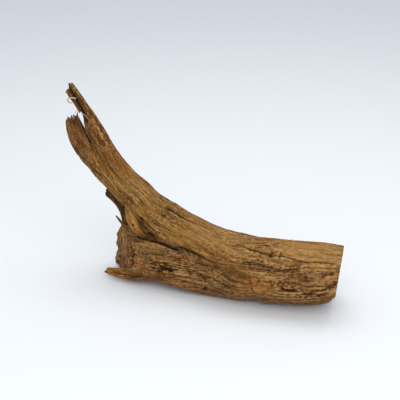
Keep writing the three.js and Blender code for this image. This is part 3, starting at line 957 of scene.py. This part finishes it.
def sawn_wood():
    """The saw cut: uneven growth rings, drying checks from the heart, saw marks and a dark rim."""
    material, shader = principled("sawn_wood", BROWN, 0.8, specular=0.12)
    tree = material.node_tree
    centred = add_node(tree, "ShaderNodeMapping", values={"Location": [-c for c in HEART]})
    tree.links.new(add_node(tree, "ShaderNodeTexCoord").outputs["Object"], centred.inputs["Vector"])
    place = centred.outputs["Vector"]
    length = add_node(tree, "ShaderNodeVectorMath", operation="LENGTH")
    tree.links.new(place, length.inputs[0])
    distance = length.outputs["Value"]
    split = add_node(tree, "ShaderNodeSeparateXYZ")
    tree.links.new(place, split.inputs[0])

    sway = streaks(tree, place, (45, 45, 45))
    ripple = streaks(tree, place, (9, 9, 9))
    radius = weighted_sum(tree, [(sway, 0.018), (ripple, 0.0022)], distance)
    angle = math_node(tree, "ARCTAN2", split.outputs["Y"], split.outputs["Z"])
    angle = math_node(tree, "MULTIPLY_ADD", ripple, 0.12, angle)
    rings = one_way_noise(tree, radius, 520.0, 2.0)
    checks = radial_checks(tree, place, angle, distance)
    pores = streaks(tree, place, (2.2, 0.9, 0.9))
    kerf = streaks(tree, place, (30, 26, 1.3), 1)
    blotches = streaks(tree, place, (20, 16, 16), 3)

    value = weighted_sum(tree, [(rings, 0.50), (pores, 0.45), (kerf, 0.22), (blotches, 0.35)])
    color = ramp(tree, value, [(0.55, UMBER), (0.68, CUT_BROWN), (0.82, CUT_TAN), (0.95, CUT_STRAW)])
    color = layered(tree, color, [
        (graded(tree, radius, (0.016, 0.75), (0.027, 0)), HEARTWOOD),
        (graded(tree, radius, (0.036, 0), (0.046, 0.65)), STAINED_RIM),
        (math_node(tree, "MULTIPLY", checks, 0.9), DARK),
    ])
    tree.links.new(color, shader.inputs["Base Color"])
    bumped(tree, shader, math_node(tree, "MULTIPLY_ADD", checks, -1.5, value), 0.9, 0.0007)
    return material


wood = weathered_wood("weathered_wood")
# A copy darkened with painted shade, for the spur that stands in shade behind the stump.
shaded = weathered_wood("shaded_wood", darker=1.0)
sawn = sawn_wood()
fibre_paint, _ = principled("pale_fibre", FIBRE, 0.7)
print("finishes:", wood.name, shaded.name, sawn.name, fibre_paint.name)

# %% [markdown]
# Now the limbs themselves. Their stations are those of the solids. The marks are listed with the limb that
# shows them. Those in front lie on the spot where the photo has them, and the few at the back are of the same
# kind. Most of them are drying checks. There are also two knots with small pits in them and a third one at
# the back, the hollow under the flake, and the long dark valley where branch and root grew together.
#
# A limb has some measures besides. "slim" takes a little off all round and "under" off the underside, which
# brings the outline to the one in the photo. "checked" says how much the sun has split the limb, and "dark"
# how much darker it is painted; in the holes and the notch that is painted shade. "tuft" is the height of the
# fibres on a torn end. "beside" names the limb that it grew together with, and both swell there into one soft
# fillet.

# %% The stem: log and upper branch
HALF_HEIGHT = 33
HALF_DEPTH = 31


def taken(table):
    """Stations whose half sizes are written as what is taken off the thickest log."""
    return [(x, y, z, HALF_HEIGHT - h, HALF_DEPTH - d) for x, y, z, h, d in table]


def mark(line, width, height, **extra):
    """A groove where the height is negative, or a ridge where it is positive."""
    return dict(line=line, width=width, height=height, **extra)


VALLEY = [[-66, -4, 54], [-48.3, -8.7, 55], [-39, -10.5, 53.5], [-29.7, -11.5, 50.3], [-10.6, -19.9, 53.1],
          [4.7, -24.5, 50.6], [17.6, -26.5, 48.4], [29.1, -27.4, 45.5]]
valley = mark(VALLEY, 3.6, -3.4, ends=0.3, open_start=0.3, wander=0.5)


def pit(place, width, height, tall=0.0):
    """A hole no longer than it is wide, or a little taller."""
    x, y, z = place
    return mark([[x, y, z - tall / 2], [x, y, z + tall / 2 + 0.1]], width, height,
                ends=0.05, open_start=1, open_end=1, wander=0.3, steep=4)


stem_marks = [
    mark([[-50, -1, 92], [-30, -6, 89], [-12, -8, 82], [4, -9, 76], [26, -9, 66]], 7, 1.8),
    mark([[-33.7, -5.9, 87], [-26.1, -1.1, 81.3], [-18.8, -1.1, 78.4], [-12.8, -1.5, 75.3], [-7, -4.8, 74.1]],
         6.0, -3.6, steep=2, wander=0.5),
    mark([[-34, -9, 80], [-29, -9, 78.5]], 2.0, -1.8, ends=0.1, wander=0.5),
    mark([[-20, -4.5, 78.8], [-12, -4, 75.2]], 2.6, -2.6, ends=0.1, wander=0.8),
    mark([[-14.2, -4.1, 76.5], [-7.3, -2.9, 73.1], [4.6, -1.9, 70.3], [10, -2.8, 67.6]], 1.6, -2.4,
         wander=0.4),
    mark([[15.9, -3.8, 65], [25.6, -4.2, 63.3], [38.3, -7.5, 62.3], [48.7, -12.1, 62.4]], 1.6, -2.4,
         wander=0.4),
    mark([[28.5, -15.3, 59.7], [39.6, -12.7, 60.8], [47, -14.3, 60.2], [52, -16.3, 60.6], [61.7, -17, 59.5],
          [73.2, -19.5, 58.5]], 1.6, -2.4, wander=0.4, open_end=0.3),
    mark([[54.2, -10.4, 61.7], [59.6, -8.6, 62.6], [68, -8.5, 63.5]], 1.4, -2.0, wander=0.4),
    mark([[57.1, -13.3, 63], [62.6, -9.1, 64.7], [77, -7.9, 66.2]], 1.4, -1.8, wander=0.4),
    mark([[80.9, -17.5, 59.6], [90.8, -17.1, 57.9], [101.9, -18.6, 57.3], [115.9, -17.7, 58],
          [131.6, -17.7, 59.5]], 1.5, -2.0, wander=0.4, open_start=0.3),
    mark([[40.3, -23.8, 52.6], [47, -24.7, 52.1], [58.4, -26.1, 50.5]], 1.8, -1.4, wander=0.4),
    mark([[83.4, -30.6, 32.6], [90.5, -29.7, 32.2], [97.8, -30.4, 32.8]], 1.7, -2.8, wander=0.3, ends=0.12),
    mark([[103.7, -26.9, 28.7], [114.4, -28.6, 33.6], [125.3, -26.4, 37.2], [130.9, -24.8, 41.3]], 1.6, -2.6,
         wander=0.3, ends=0.12, open_end=0.5),
    mark([[111.9, -27.4, 27.2], [120.5, -27, 30.6], [127.3, -26.8, 34.7]], 1.4, -2.2, wander=0.3, ends=0.12),
    mark([[-112, 6, 118], [-108.3, 1.9, 117.4], [-100.5, -2.8, 113], [-93.4, -3.8, 106.1]], 3.4, -2.4,
         wander=0.5, open_start=0.5),
    mark([[120, 27, 40], [95, 31, 36], [66, 31, 38], [40, 28, 44]], 2.4, -3.0),
    mark([[34, 29, 50], [54, 31, 47], [76, 30, 50], [100, 27, 53]], 2.2, -2.6),
    mark([[62, -15, 62], [76, -17, 61], [90, -15, 60]], 13, 1.6, steep=2),
    mark([[84.5, 3, 65], [88, 2, 65]], 3.0, 1.6, wander=0.3),
    mark([[82, 1, 65], [85, -1, 65.5]], 1.8, -1.6, wander=0.3),
    mark([[71.8, -17.8, 58.8], [73.4, -17.2, 62.2]], 2.3, -2.8, ends=0.1, open_start=0.5, wander=0.5),
    mark([[75.0, -16.8, 61.0], [77.6, -16.0, 63.0]], 2.1, -2.4, ends=0.1, open_start=0.5, wander=0.5),
    mark([[79.0, -17.4, 59.0], [80.9, -16.4, 62.0]], 2.4, -2.8, ends=0.1, open_start=0.5, wander=0.5),
    mark([[74.4, -17.6, 59.6], [76.6, -17.4, 59.4]], 1.8, -1.8, ends=0.1, open_start=0.5, wander=0.4),
    pit((102.1, -27.5, 43.2), 1.6, -1.5),
    pit((105.3, -26.3, 46.1), 1.7, -1.6),
    pit((108.1, -26, 42.3), 1.8, -1.6),
    mark([[30, 27, 52], [22, 27, 53], [14, 26, 55]], 6, -3.4, wander=1.6),
    mark([[-55.9, -15.3, 79.4], [-53.4, -15.5, 75.4], [-51.5, -13.2, 68.6], [-48, -11, 60],
          [-46, -8, 54]], 5.6, -4.6, wander=0.5, open_end=0.4),
    mark([[-49, -12, 68], [-45, -13, 62], [-42, -13, 57]], 5.0, -2.6, wander=0.8),
    mark([[-51, -4, 53], [-48, -6, 52.9], [-44.3, -6.6, 51.6]], 3.6, -4.0, wander=0.3, ends=0.1),
    valley,
]

stem = dict(
    seed=1.7,
    checked=0.3,
    slim=[(-75, 0), (-55, 0.8), (-30, 2.2), (5, 2.4), (30, 1.9), (60, 1.8), (100, 1.1), (140, 0.7)],
    under=[(10, 0), (30, 0.2), (40, 0.2), (48, -0.2), (58, -1.2), (76, -1.6), (95, -0.4), (112, 0.2),
           (124, 0.6)],
    around=400,
    pitch=1.05,
    cap_rings=30,
    sawn=True,
    knots=[((77, -18, 61), 16, 9), ((106, -29, 45.5), 9, 5), ((22, 27, 53), 15, 9)],
    marks=stem_marks,
    stations=taken([
        (146, 0, 41, 8, 7), (132, 0, 39.5, 6.5, 6), (117, 0, 37, 4, 3.5), (96, 0, 34, 1, 1),
        (73, -1, 33, 0, 0), (50, -2, 32.5, 0.5, 0), (28.5, -1, 36.4, 3.5, 2), (8.3, 0, 47.2, 9.5, 6),
        (-9.7, 1, 56.7, 13, 10), (-26.8, 1, 64.2, 12.5, 11.5), (-41, 2, 71, 11, 13),
        (-51.8, 2.5, 80, 14.3, 14), (-61.2, 4, 90, 16.6, 15), (-75.4, 6, 100.2, 17.6, 16),
        (-90, 9, 112, 16.5, 17.5),
        (-102, 12, 124, 15.5, 19.5), (-109, 15, 131, 20, 23.5), (-112.5, 17, 134.5, 27, 27.5),
    ]),
)

# %% [markdown]
# The lower root is nearly as thick as the log and broke off short, so it ends in a ragged face that leans
# back. A heel lies behind it on the ground. At its foot a long reddish spike of torn wood points to the left,
# split into three. A thin dark sliver sticks up beside the spur, and a flake of pale wood has lifted off the
# branch above the fork. All of these are limbs too, only smaller ones, so one way of making serves for all.

# %% The root, its heel and its spike
root = dict(
    seed=6.1,
    checked=0.2,
    slim=[(-80, 0.8), (-55, 1.8), (64, 2.2)],
    under=[(-80, -0.5), (-60, -1.4), (-20, -0.6), (10, 0.2), (24, -0.6), (38, -1.4), (50, -1.6),
           (62, -2.2), (75, -3)],
    around=380,
    pitch=0.9,
    cap_rings=44,
    standing=0.3,
    tuft=2.4,
    tuft_waves=(26, 8),
    tuft_fuzz=0.2,
    broken=dict(slant_up=-0.12, slant_back=0.78, ragged=0.4, rim=1.8, start=0.62),
    marks=[
        mark([[-78.6, -6, 50], [-78.6, -14, 42], [-78.6, -18, 32], [-78.6, -18, 22]], 2.2, -2.4,
             wander=1.2, ends=0.1),
        mark([[9.5, -27.8, 29.4], [13.3, -27.9, 29.5]], 2.2, -2.6, wander=0.4),
        mark([[5.4, -27.2, 24.6], [9.4, -27.6, 25.5]], 2.4, -3.0, wander=0.4),
        mark([[6.9, -19.5, 10.8], [11, -20, 12.9], [16.2, -25, 18.9]], 2.4, -3.2, wander=0.3),
        mark([[-36, -23, 31], [-27.8, -24, 30.8], [-18.7, -25, 30.6]], 3.2, -4.6, wander=0.2, ends=0.12),
        mark([[-48.5, -21, 29], [-43.2, -22, 28.4], [-36, -23, 27.6], [-30, -23.8, 26]], 2.2, -2.8,
             wander=0.4),
        mark([[-66, -19, 36], [-52, -22, 37], [-38, -22, 36]], 1.6, -1.6),
        mark([[-60, -14, 48], [-44, -19, 45], [-24, -22, 43]], 1.6, -1.4),
        valley,
    ],
    stations=[
        (88, -1, 31, 20, 20), (66, -1.5, 31.5, 27.5, 28), (46, -2, 31.5, 30, 30.5),
        (26, -1.5, 31.5, 30.2, 29.5), (8, -1.5, 31, 29.5, 27.5),
        (-8, -1.5, 30, 28.5, 25.5), (-24, -1, 29.6, 27.8, 24), (-40, 0, 29.4, 27.6, 23.6),
        (-56, 2, 28.6, 26.8, 22.5), (-68, 3, 28, 27, 22.5), (-79.5, 4, 28, 27, 21.5),
    ],
)
heel = dict(
    seed=21.3, around=120, pitch=0.9, cap_rings=12, rough=0.4, relief=0.5, tuft=1.0,
    stations=[(-26, 12, 14, 9, 9), (-46, 15, 11, 8.5, 9), (-66, 17, 10, 8.5, 9), (-82, 18.5, 10, 8, 7.5),
              (-92, 19.5, 11, 6.5, 6)],
)
spike = dict(
    seed=18, around=110, pitch=0.6, cap_rings=8, rough=0.8, relief=0.9, tuft=1.6,
    broken=dict(slant_up=-0.3, slant_back=0, ragged=0.9, start=0.7),
    marks=[
        mark([[-90, -11, 12], [-78, -14, 12.5], [-62, -17, 14], [-50, -17, 15]], 1.6, -2.4, wander=0.7),
        mark([[-86, -11, 8.5], [-74, -14, 8], [-60, -16, 9]], 1.4, -2.0, wander=0.7),
        mark([[-80, -10, 16], [-70, -12, 16.5], [-58, -14, 17.5]], 1.8, -2.4, wander=0.7),
    ],
    stations=[(-30, -8, 19, 4, 5), (-48, -10, 14.5, 5.4, 6.5), (-64, -10.5, 12.2, 5.2, 6),
              (-77, -9.5, 11.2, 4.8, 4.6), (-87, -8.5, 10.9, 4.0, 3.4), (-92.5, -8, 11.4, 3.2, 2.4)],
)
sliver = dict(
    seed=4.4, around=28, pitch=0.6, cap_rings=3, rough=0.2, relief=0.15, tuft=0.3, dark=0.45,
    stations=[(-58, 1, 44, 1.9, 1.9), (-66, 3.2, 47, 2.0, 2.0), (-71.5, 3, 51.5, 1.7, 1.8),
              (-77.1, 3, 57, 1.5, 1.5), (-81.3, 2.5, 62.6, 1.2, 1.2), (-84.5, 2, 67.3, 0.7, 0.7)],
)
flake = dict(
    seed=5.8, around=90, pitch=0.6, cap_rings=5, rough=0.1, relief=0.3, tuft=0.5, checked=0,
    stations=[(-68, -7.5, 86, 2.5, 2), (-65.5, -11.5, 80, 4.6, 3.2), (-62.6, -13.2, 73, 5.2, 3.4),
              (-58.8, -14.2, 66.5, 4.8, 3.2), (-54.8, -13.5, 61, 3.6, 2.6), (-50.2, -12, 57, 1.4, 1.2)],
)
stem["beside"] = root["stations"]
root["beside"] = stem["stations"]
stem_wood = grow("stem_wood", stem)
root_wood = grow("root_wood", root)
heel_wood = grow("heel_wood", heel)
spike_wood = grow("spike_wood", spike)
sliver_wood = grow("sliver_wood", sliver)
flake_wood = grow("flake_wood", flake)

# %% [markdown]
# The branch splits into two tips that are torn at their ends. The long one is hollowed on the side that
# looks at the camera, and it ends in a knob. The short one ends in teeth, two of which stand higher as
# prongs, and a narrow notch parts the two tips. A dark spur rises behind the stump, in the shade above it,
# and its finish is darkened all over with painted shade.
#
# The notch and the two worm holes are made as splinters of their own shape and are then cut away from the
# wood, which leaves a clean hole whose walls are darkened with painted shade. The three pale hairs are what
# is left of the bast. They are fine tubes, because flat ribbons would vanish when seen edge on.

# %% The tips and the spur
long_tip = dict(
    seed=9.4, around=170, pitch=0.7, cap_rings=12, relief=0.6, tuft=1.6,
    broken=dict(slant_up=0.5, slant_back=0, ragged=1.2, start=0.7),
    marks=[
        mark([[-113.5, 13, 150], [-117, 14, 157], [-121.6, 16, 166], [-125.6, 17, 172.6], [-130.4, 19, 180],
              [-134, 21, 186]], 8.5, -3.6, steep=3, open_end=0.3, wander=0.5),
    ],
    stations=[(-88, 10, 118, 9, 7.5), (-98.6, 13, 135.2, 8.6, 7.5), (-108, 16.5, 149.8, 7.9, 6.6),
              (-113.8, 18.5, 158.9, 7, 5.9), (-119.8, 20.5, 166.9, 6, 5.4), (-126, 22.5, 174.4, 5.6, 5),
              (-132, 24, 181, 5.8, 4.8), (-134.5, 24.5, 185, 4.8, 4)],
)
short_tip = dict(
    seed=12.9, around=170, pitch=0.7, cap_rings=14, relief=0.6, tuft=2.2,
    broken=dict(slant_up=0.2, slant_back=0, ragged=3, start=0.45),
    marks=[
        mark([[-119, 14, 157], [-111, 10, 147], [-105, 6, 139], [-98, 2, 130]], 3, -3.4),
        mark([[-127, 12, 133], [-124.7, 13, 123.5], [-119.9, 12, 119.3], [-112, 6, 118]], 4.0, -2.6,
             open_end=0.5),
    ],
    stations=[(-101, 12, 112, 9, 6), (-113, 15, 124, 11, 7.5), (-122, 17, 134.5, 10.5, 7),
              (-127.5, 18, 145, 9.5, 6), (-130, 18.5, 154, 8, 4.6)],
)
rear_spur = dict(
    seed=15.2, around=110, pitch=0.7, cap_rings=8, relief=0.45, tuft=1.0, finishes=[shaded],
    broken=dict(slant_up=0, slant_back=0.2, ragged=1.4, start=0.75),
    stations=[(-69, 14, 30, 6.6, 6), (-75.4, 14.3, 45, 5.6, 5), (-77.6, 14.6, 57, 5, 4.6),
              (-80.8, 15, 68, 4.6, 4.2), (-88.2, 15.5, 78.2, 4.4, 3.4), (-99, 16, 85.4, 3.8, 2.4)],
)


def splinter(name, places, halves, deep=1, **extra):
    """A small torn splinter through places, with its half thickness at each."""
    stations = [(*place, half, half * deep) for place, half in zip(places, halves)]
    plain = dict(seed=3.3, around=20, pitch=0.5, cap_rings=3, rough=0, relief=0.15, tuft=0.3)
    return grow(name, plain | dict(stations=stations) | extra)


prongs = [
    splinter("left_prong", [(-131.4, 18, 148), (-131.7, 18, 155.6), (-131.4, 18, 159.6)],
             [2.2, 1.4, 0.5]),
    splinter("middle_prong", [(-125.4, 17.5, 150), (-125.3, 17.5, 157), (-125.2, 17.5, 163.2)],
             [2.0, 1.2, 0.4]),
]
knob = splinter("knob", [(-131, 23, 177), (-135.2, 24, 179.4), (-138.3, 24, 180.8)], [2.4, 2.0, 1.2])
tip_notch = splinter(
    "tip_notch",
    [(-123.9, 17, 165), (-121.7, 17, 160.3), (-119.9, 17, 152.8), (-116.7, 17, 146.4)],
    [0.6, 1.8, 1.9, 0.6],
    deep=6,
    dark=0.7,
)
borer_hole = splinter("borer_hole", [(-58.4, -21.2, 71.9), (-60.4, -14.2, 68.5), (-61.4, -10.7, 66.8)],
                      [1.1, 1.1, 0.9], dark=1.0)
stump_hole = splinter("stump_hole", [(-82, 0, 45), (-75, 1.8, 44.9), (-68, 4, 45)], [1.3, 1.2, 0.8], dark=1.0)
hairs = [
    splinter("long_hair", [(-110, 14, 154), (-112.7, 14, 158.7), (-116.4, 14.5, 162.4), (-120.2, 15, 164.6),
                           (-124, 15.5, 167.0)], [0.35, 0.32, 0.3, 0.28, 0.2], around=10, smooth=True),
    splinter("short_hair", [(-129.6, 17.5, 156), (-128.6, 17, 160), (-125.6, 16.5, 164.8), (-124, 16, 167.5)],
             [0.4, 0.32, 0.28, 0.2], around=10, smooth=True),
    splinter("curl", [(-127.5, 22, 175), (-131.7, 21, 176), (-134.6, 20.5, 175.3), (-135.6, 20.5, 172.8),
                      (-133.6, 20.5, 171), (-130.5, 21, 171.5)], [0.9, 0.8, 0.7, 0.7, 0.7, 0.5],
             around=12, smooth=True),
]
long_tip_wood = grow("long_tip_wood", long_tip)
short_tip_wood = grow("short_tip_wood", short_tip)
spur_wood = grow("spur_wood", rear_spur)

# %% [markdown]
# The limbs grew into each other, so they are joined by boolean union, and then parted again where the solids
# are: at the fork of the log and at the fork of the tips. The parting faces lie inside the wood and never
# show. Each cut is made with a big block that is set against the parting plane. The manifold solver is used,
# since it is the one that keeps the records on the corners and always gives a closed skin.


# %% Joining and parting
def twin(piece, name):
    """A copy of a piece with its own mesh."""
    copied = piece.copy()
    copied.data = piece.data.copy()
    copied.name = name
    bpy.context.collection.objects.link(copied)
    return copied


def boolean(piece, tool, operation):
    """Join the piece with the tool, or cut it by the tool."""
    bpy.ops.object.select_all(action="DESELECT")
    piece.select_set(True)
    bpy.context.view_layer.objects.active = piece
    cut = piece.modifiers.new("cut", "BOOLEAN")
    cut.operation = operation
    cut.solver = "MANIFOLD"
    cut.object = tool
    bpy.ops.object.modifier_apply(modifier=cut.name)
    return piece


def block_beyond(point, normal, size=1.0):
    """A block whose near face lies on a plane, with the rest beyond it."""
    bpy.ops.object.select_all(action="DESELECT")
    away = Vector(normal).normalized()
    near = Vector((np.array(point) + OFFSET) * MM)
    bpy.ops.mesh.primitive_cube_add(
        size=size, location=near + away * size / 2, rotation=away.to_track_quat("Z", "Y").to_euler()
    )
    block = bpy.context.object
    block.name = "block"
    return block


def discard(*pieces):
    """Throw tools away once they have done their work."""
    for piece in pieces:
        bpy.data.objects.remove(piece)


FORK_X = -14
TIP_FORK = (-107, 14, 130)
TIP_FORK_NORMAL = (-0.62, 0.12, 0.77)

fork_block = block_beyond((FORK_X, 0, 0), (-1, 0, 0))
tip_block = block_beyond(TIP_FORK, TIP_FORK_NORMAL)

trunk = boolean(twin(stem_wood, "trunk_wood"), root_wood, "UNION")
boolean(trunk, fork_block, "DIFFERENCE")

branch = twin(stem_wood, "upper_branch_wood")
boolean(branch, fork_block, "INTERSECT")
boolean(branch, flake_wood, "UNION")
boolean(branch, borer_hole, "DIFFERENCE")
boolean(branch, long_tip_wood, "UNION")
boolean(branch, short_tip_wood, "UNION")
boolean(branch, tip_block, "DIFFERENCE")

stump = twin(root_wood, "broken_stump_wood")
boolean(stump, fork_block, "INTERSECT")
boolean(stump, heel_wood, "UNION")
boolean(stump, spike_wood, "UNION")
boolean(stump, sliver_wood, "UNION")
boolean(stump, stump_hole, "DIFFERENCE")
boolean(stump, stem_wood, "DIFFERENCE")
boolean(stump, flake_wood, "DIFFERENCE")
boolean(stump, fork_block, "INTERSECT")

long_piece = twin(long_tip_wood, "long_tip_splinters")
boolean(long_piece, stem_wood, "UNION")
boolean(long_piece, knob, "UNION")
boolean(long_piece, tip_block, "INTERSECT")
boolean(long_piece, tip_notch, "DIFFERENCE")

short_piece = twin(short_tip_wood, "short_tip_splinters")
boolean(short_piece, tip_notch, "DIFFERENCE")
for prong in prongs:
    boolean(short_piece, prong, "UNION")
boolean(short_piece, tip_block, "INTERSECT")
boolean(short_piece, long_tip_wood, "DIFFERENCE")
boolean(short_piece, stem_wood, "DIFFERENCE")

spur = twin(spur_wood, "rear_spur_wood")
boolean(spur, stem_wood, "DIFFERENCE")
boolean(spur, root_wood, "DIFFERENCE")

discard(fork_block, tip_block, stem_wood, root_wood, heel_wood, spike_wood, sliver_wood, flake_wood)
discard(long_tip_wood, short_tip_wood, spur_wood, knob, tip_notch, stump_hole, borer_hole, *prongs)
wood_pieces = [trunk, branch, stump, long_piece, short_piece, spur]

bpy.ops.object.select_all(action="DESELECT")
for hair in hairs:
    hair.data.materials.clear()
    hair.data.materials.append(fibre_paint)
    hair.select_set(True)
bpy.context.view_layer.objects.active = hairs[0]
bpy.ops.object.join()
fibres = bpy.context.object
fibres.name = "loose_fibres"
for piece in wood_pieces:
    print(piece.name, len(piece.data.polygons), "faces")

# %% [markdown]
# The log lay on one side and wore flat there. What would reach below the floor is pressed up to it.


# %% Worn underside and shading
def wear_flat(piece):
    """Press what lies below the floor up to it, with a trace of roughness."""
    mesh = piece.data
    places = np.empty(len(mesh.vertices) * 3, np.float32)
    mesh.vertices.foreach_get("co", places)
    places = places.reshape(-1, 3)
    rough = 0.00012 * (1 + noise(places.astype(float) / MM, (14, 3, 3), 31))
    places[:, 2] = np.maximum(places[:, 2], np.clip(rough, 0, None))
    mesh.vertices.foreach_set("co", places.ravel())
    mesh.update()


for piece in wood_pieces:
    wear_flat(piece)
    bpy.ops.object.select_all(action="DESELECT")
    piece.select_set(True)
    bpy.context.view_layer.objects.active = piece
    bpy.ops.object.shade_smooth_by_angle(angle=math.radians(62))

# %% [markdown]
# Every piece rides on the one body and takes the place of its solid, which is hidden.

# %% Hand the pieces over
NODES = {
    "trunk_wood": ("trunk", "weathered_wood"),
    "upper_branch_wood": ("upper_branch", "weathered_wood"),
    "broken_stump_wood": ("broken_stump", "weathered_wood"),
    "long_tip_splinters": ("long_tip", "weathered_wood"),
    "short_tip_splinters": ("short_tip", "weathered_wood"),
    "rear_spur_wood": ("rear_spur", "shaded_wood"),
}
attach(fibres, "root")
for piece in wood_pieces:
    node, finish = NODES[piece.name]
    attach(piece, "root")
    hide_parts(node)
